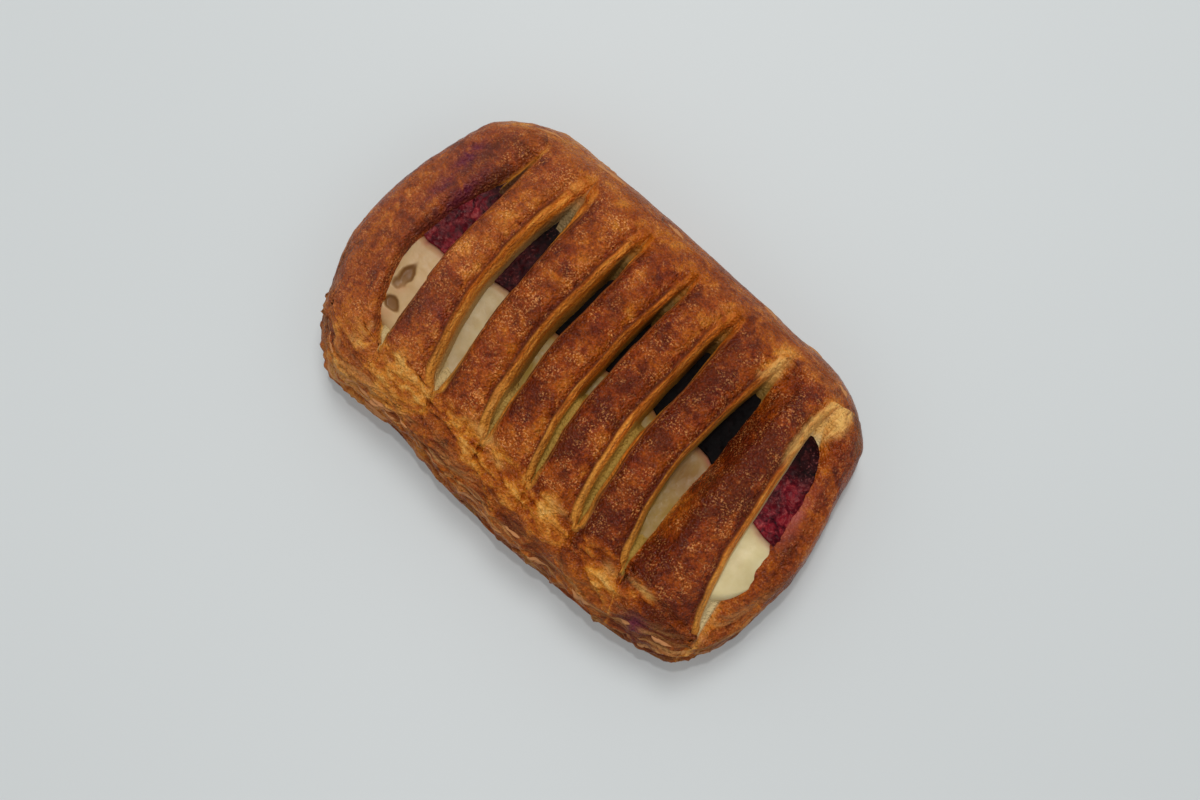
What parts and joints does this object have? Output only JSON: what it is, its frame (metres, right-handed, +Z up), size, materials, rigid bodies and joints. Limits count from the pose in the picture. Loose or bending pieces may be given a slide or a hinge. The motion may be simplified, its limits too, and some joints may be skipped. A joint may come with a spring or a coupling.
{
  "type": "cherry cheese danish",
  "caption": "Puffed rectangular danish of laminated dough with slits across its top, over a half of soft cheese and a half of cherry filling.",
  "frame": {"origin": "under the middle of the pastry, on its flat base", "axes": "+X along the long side, +Y towards the folded side over the cherry filling, +Z up through the slit top"},
  "size_m": [0.1336, 0.0838, 0.0309],
  "materials": {
    "crust": "egg-washed and baked golden to reddish brown, with a light gloss and flaky layers",
    "cheese": "smooth pale cream, slightly glossy",
    "cherry": "dark crimson fruit filling, wet and grainy"
  },
  "bodies": {
    "root": {"pastry": "crust", "cheese_filling": "cheese", "cherry_filling": "cherry"}
  },
  "joints": []
}
